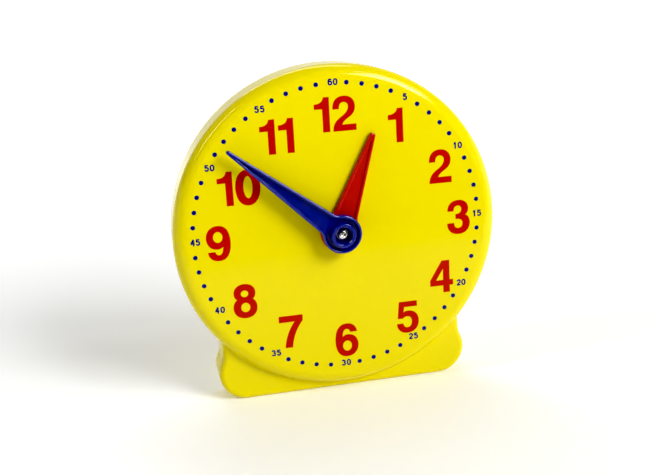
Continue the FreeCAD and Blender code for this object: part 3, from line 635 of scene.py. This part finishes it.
# ------------------------------------------------------------------ materials
def material(name, base, rough=0.2, metallic=0.0, spec=0.5, ior=1.5, vary=0.04, vary_scale=35.0, peel=0.0006, peel_scale=900.0,
             rough_var=0.05, rough_scale=180.0, scratch=0.0, sss=0.0, sss_radius=(0.001, 0.001, 0.001), coat=0.0, tint=None):
    m = bpy.data.materials.new(name)
    m.use_nodes = True
    nt = m.node_tree
    nt.nodes.clear()
    N = nt.nodes.new
    link = nt.links.new
    out = N("ShaderNodeOutputMaterial")
    b = N("ShaderNodeBsdfPrincipled")
    link(b.outputs["BSDF"], out.inputs["Surface"])
    b.inputs["Metallic"].default_value = metallic
    b.inputs["IOR"].default_value = ior
    b.inputs["Specular IOR Level"].default_value = spec
    if sss:
        b.inputs["Subsurface Weight"].default_value = sss
        b.inputs["Subsurface Radius"].default_value = sss_radius
        b.inputs["Subsurface Scale"].default_value = 1.0
    if coat:
        b.inputs["Coat Weight"].default_value = coat
        b.inputs["Coat Roughness"].default_value = 0.05
    tc = N("ShaderNodeTexCoord")
    co = tc.outputs["Object"]
    # broad, faint colour drift of the pigment
    n1 = N("ShaderNodeTexNoise")
    n1.inputs["Scale"].default_value = vary_scale
    n1.inputs["Detail"].default_value = 3.0
    link(co, n1.inputs["Vector"])
    mix = N("ShaderNodeMix")
    mix.data_type = "RGBA"
    lo = [c * (1 - vary) for c in base]
    hi = [min(1.0, c * (1 + vary)) for c in base]
    if tint:
        hi = [min(1.0, c * (1 + vary) * t) for c, t in zip(base, tint)]
    mix.inputs[6].default_value = (*lo, 1)
    mix.inputs[7].default_value = (*hi, 1)
    link(n1.outputs["Fac"], mix.inputs[0])
    link(mix.outputs[2], b.inputs["Base Color"])
    # gloss that changes a little over the moulding
    n2 = N("ShaderNodeTexNoise")
    n2.inputs["Scale"].default_value = rough_scale
    n2.inputs["Detail"].default_value = 4.0
    link(co, n2.inputs["Vector"])
    mr = N("ShaderNodeMapRange")
    mr.inputs["From Min"].default_value = 0.3
    mr.inputs["From Max"].default_value = 0.7
    mr.inputs["To Min"].default_value = max(rough - rough_var, 0.02)
    mr.inputs["To Max"].default_value = rough + rough_var
    link(n2.outputs["Fac"], mr.inputs["Value"])
    link(mr.outputs["Result"], b.inputs["Roughness"])
    # very fine moulding texture
    n3 = N("ShaderNodeTexNoise")
    n3.inputs["Scale"].default_value = peel_scale
    n3.inputs["Detail"].default_value = 2.0
    link(co, n3.inputs["Vector"])
    bump = N("ShaderNodeBump")
    bump.inputs["Strength"].default_value = 1.0
    bump.inputs["Distance"].default_value = peel * 0.01
    link(n3.outputs["Fac"], bump.inputs["Height"])
    link(bump.outputs["Normal"], b.inputs["Normal"])
    return m


def srgb(r, g, b):
    f = lambda c: c / 12.92 if c <= 0.04045 else ((c + 0.055) / 1.055) ** 2.4
    return tuple(f(x / 255.0) for x in (r, g, b))


MATS = {
    "yellow_case": material("yellow_plastic", srgb(230, 215, 6), rough=0.15, spec=0.38, vary=0.012, vary_scale=22, peel=0.0010, peel_scale=700,
                            rough_var=0.03),
    "blue_hand": material("blue_plastic", srgb(5, 24, 140), rough=0.2, spec=0.95, vary=0.03, vary_scale=60),
    "red_hand": material("red_plastic", srgb(184, 16, 8), rough=0.2, spec=0.65, vary=0.03, vary_scale=60),
    "bright_screw": material("nickel_plate", (0.78, 0.76, 0.72), rough=0.16, metallic=1.0, vary=0.05, vary_scale=900, rough_var=0.05,
                             rough_scale=2500, peel=0.0008, peel_scale=4000),
    "zinc_steel": material("zinc_plate", (0.60, 0.60, 0.58), rough=0.28, metallic=1.0, vary=0.06, vary_scale=900, rough_var=0.08,
                           rough_scale=2500, peel=0.0008, peel_scale=4000),
    "plain_steel": material("ground_steel", (0.52, 0.52, 0.52), rough=0.25, metallic=1.0, vary=0.05, vary_scale=700, rough_scale=3000),
    "spring_steel": material("spring_steel", (0.33, 0.34, 0.38), rough=0.3, metallic=1.0, vary=0.08, vary_scale=500, rough_scale=2500),
    "white_moulding": material("natural_acetal", (0.80, 0.79, 0.73), rough=0.38, spec=0.45, vary=0.02, vary_scale=120, peel=0.0012,
                               peel_scale=1500, sss=0.15, sss_radius=(0.0012, 0.0011, 0.0009)),
    "washer_nylon": material("natural_nylon", (0.74, 0.71, 0.62), rough=0.42, spec=0.4, vary=0.03, vary_scale=300, peel=0.0012, peel_scale=2500),
    "red_print": material("red_ink", srgb(186, 24, 18), rough=0.2, spec=0.15, vary=0.03, vary_scale=150, peel=0.0012, peel_scale=2200),
    "blue_print": material("blue_ink", srgb(10, 24, 128), rough=0.2, spec=0.15, vary=0.05, vary_scale=250, peel=0.0012, peel_scale=2200),
}


def dress(o, m):
    if len(o.material_slots) == 0:
        o.data.materials.append(m)
    for s in o.material_slots:
        s.material = m


slot_of = {p["node"]: p["material_slot"] for p in frame["record"]["subparts"]}
for n, o in frame["nodes"].items():
    dress(o, MATS[slot_of[n]])
dress(minute_hand, MATS["blue_hand"])
dress(hour_hand, MATS["red_hand"])
dress(screw, MATS["bright_screw"])
dress(numerals, MATS["red_print"])
dress(minute_dots, MATS["blue_print"])
dress(minute_labels, MATS["blue_print"])


# ------------------------------------------------------------------ stage
def plain_sheet(name, x0, x1, y0, y1, z, col, rough, glow=None):
    """Flat sheet; glow = (strength under the clock, strength far from it) of a faint light from within, like backlit paper."""
    me = bpy.data.meshes.new(name)
    nx, ny = 12, 12
    vs = [(x0 + (x1 - x0) * i / nx, y0 + (y1 - y0) * j / ny, z) for j in range(ny + 1) for i in range(nx + 1)]
    fs = [(j * (nx + 1) + i, j * (nx + 1) + i + 1, (j + 1) * (nx + 1) + i + 1, (j + 1) * (nx + 1) + i) for j in range(ny) for i in range(nx)]
    me.from_pydata(vs, [], fs)
    o = bpy.data.objects.new(name, me)
    scene.collection.objects.link(o)
    m = material(name + "_surface", col, rough=rough, spec=0.2, vary=0.008, vary_scale=3, rough_var=0.02, peel=0.0)
    if glow:
        nt = m.node_tree
        b = next(n for n in nt.nodes if n.type == "BSDF_PRINCIPLED")
        b.inputs["Emission Color"].default_value = (1, 1, 1, 1)
        tc = next(n for n in nt.nodes if n.type == "TEX_COORD")
        dist = nt.nodes.new("ShaderNodeVectorMath")
        dist.operation = "LENGTH"
        nt.links.new(tc.outputs["Object"], dist.inputs[0])
        mr = nt.nodes.new("ShaderNodeMapRange")
        mr.interpolation_type = "SMOOTHSTEP"
        mr.inputs["From Min"].default_value = 0.12
        mr.inputs["From Max"].default_value = 1.0
        mr.inputs["To Min"].default_value, mr.inputs["To Max"].default_value = glow
        nt.links.new(dist.outputs["Value"], mr.inputs["Value"])
        nt.links.new(mr.outputs["Result"], b.inputs["Emission Strength"])
    dress(o, m)
    return o


plain_sheet("paper", -9, 9, -9, 9, 0.0, (0.90, 0.90, 0.895), 0.6, glow=(0.16, 0.85))
# black flag lying in front of the clock, seen only in the gloss of the plastic
flag = plain_sheet("flag", -1.2, 1.2, -2.2, -0.19, 0.0006, (0.012, 0.012, 0.012), 0.7)
flag.visible_camera = flag.visible_diffuse = flag.visible_shadow = flag.visible_transmission = False


# ------------------------------------------------------------------ light
hub = Vector((0, -0.0053, 0.0648))


def soft_box(name, a, b, width, power, dist):
    """Rectangular lamp at the given distance from the hand axis; its long side runs from direction a to direction b."""
    a, b = Vector(a).normalized(), Vector(b).normalized()
    c = ((a + b) / 2).normalized()
    x = b - a
    length = x.length * dist
    x = (x - c * x.dot(c)).normalized()
    y = c.cross(x)
    d = bpy.data.lights.new(name, "AREA")
    d.energy = power
    d.shape = "RECTANGLE"
    d.size, d.size_y = length, width
    o = bpy.data.objects.new(name, d)
    scene.collection.objects.link(o)
    o.matrix_world = Matrix.Translation(hub + c * dist) @ Matrix((x, y, c)).transposed().to_4x4()
    return o


soft_box("key", (0.39, -0.79, 0.36), (0.62, -0.50, 0.61), 1.0, 55.5, 2.6)
soft_box("strip_right", (0.343, -0.435, 0.8315), (0.78, -0.304, 0.5446), 0.12, 1.8, 1.2)
soft_box("strip_left", (-0.903, -0.127, 0.412), (-0.548, -0.153, 0.823), 0.11, 2.5, 1.2)
soft_box("strip_top", (-0.30, 0.85, 0.43), (0.375, 0.198, 0.9055), 0.14, 3.6, 1.2)

world = bpy.data.worlds.new("studio")
scene.world = world
world.use_nodes = True
wt = world.node_tree
bg = next(n for n in wt.nodes if n.type == "BACKGROUND")
wc = wt.nodes.new("ShaderNodeTexCoord")
sx = wt.nodes.new("ShaderNodeSeparateXYZ")
wt.links.new(wc.outputs["Generated"], sx.inputs["Vector"])
wr = wt.nodes.new("ShaderNodeMapRange")
wr.interpolation_type = "SMOOTHSTEP"
wr.inputs["From Min"].default_value = -0.20
wr.inputs["From Max"].default_value = 0.80
wr.inputs["To Min"].default_value = 0.02
wr.inputs["To Max"].default_value = 0.68
wt.links.new(sx.outputs["Y"], wr.inputs["Value"])


def world_ramp(socket, a, b, va, vb):
    r = wt.nodes.new("ShaderNodeMapRange")
    r.interpolation_type = "SMOOTHSTEP"
    for k, v in zip(("From Min", "From Max", "To Min", "To Max"), (a, b, va, vb)):
        r.inputs[k].default_value = v
    wt.links.new(socket, r.inputs["Value"])
    return r.outputs["Result"]


def world_math(op, a, b):
    n = wt.nodes.new("ShaderNodeMath")
    n.operation = op
    wt.links.new(a, n.inputs[0])
    wt.links.new(b, n.inputs[1])
    return n.outputs[0]


# a pale band round the horizon, behind and beside the clock
band = world_math("MULTIPLY", world_ramp(sx.outputs["Z"], 0.155, 0.20, 1.0, 0.0), world_ramp(sx.outputs["Y"], -0.45, -0.30, 0.0, 1.0))
bg.inputs["Color"].default_value = (1, 1, 1, 1)
wt.links.new(world_math("MAXIMUM", wr.outputs["Result"], band), bg.inputs["Strength"])

scene.view_settings.view_transform = "Standard"
scene.view_settings.look = "None"
scene.view_settings.exposure = 0.0
scene.view_settings.gamma = 0.86
scene.view_settings.use_curve_mapping = True
scene.view_settings.curve_mapping.black_level = (0.016, 0.016, 0.02)
scene.view_settings.curve_mapping.update()
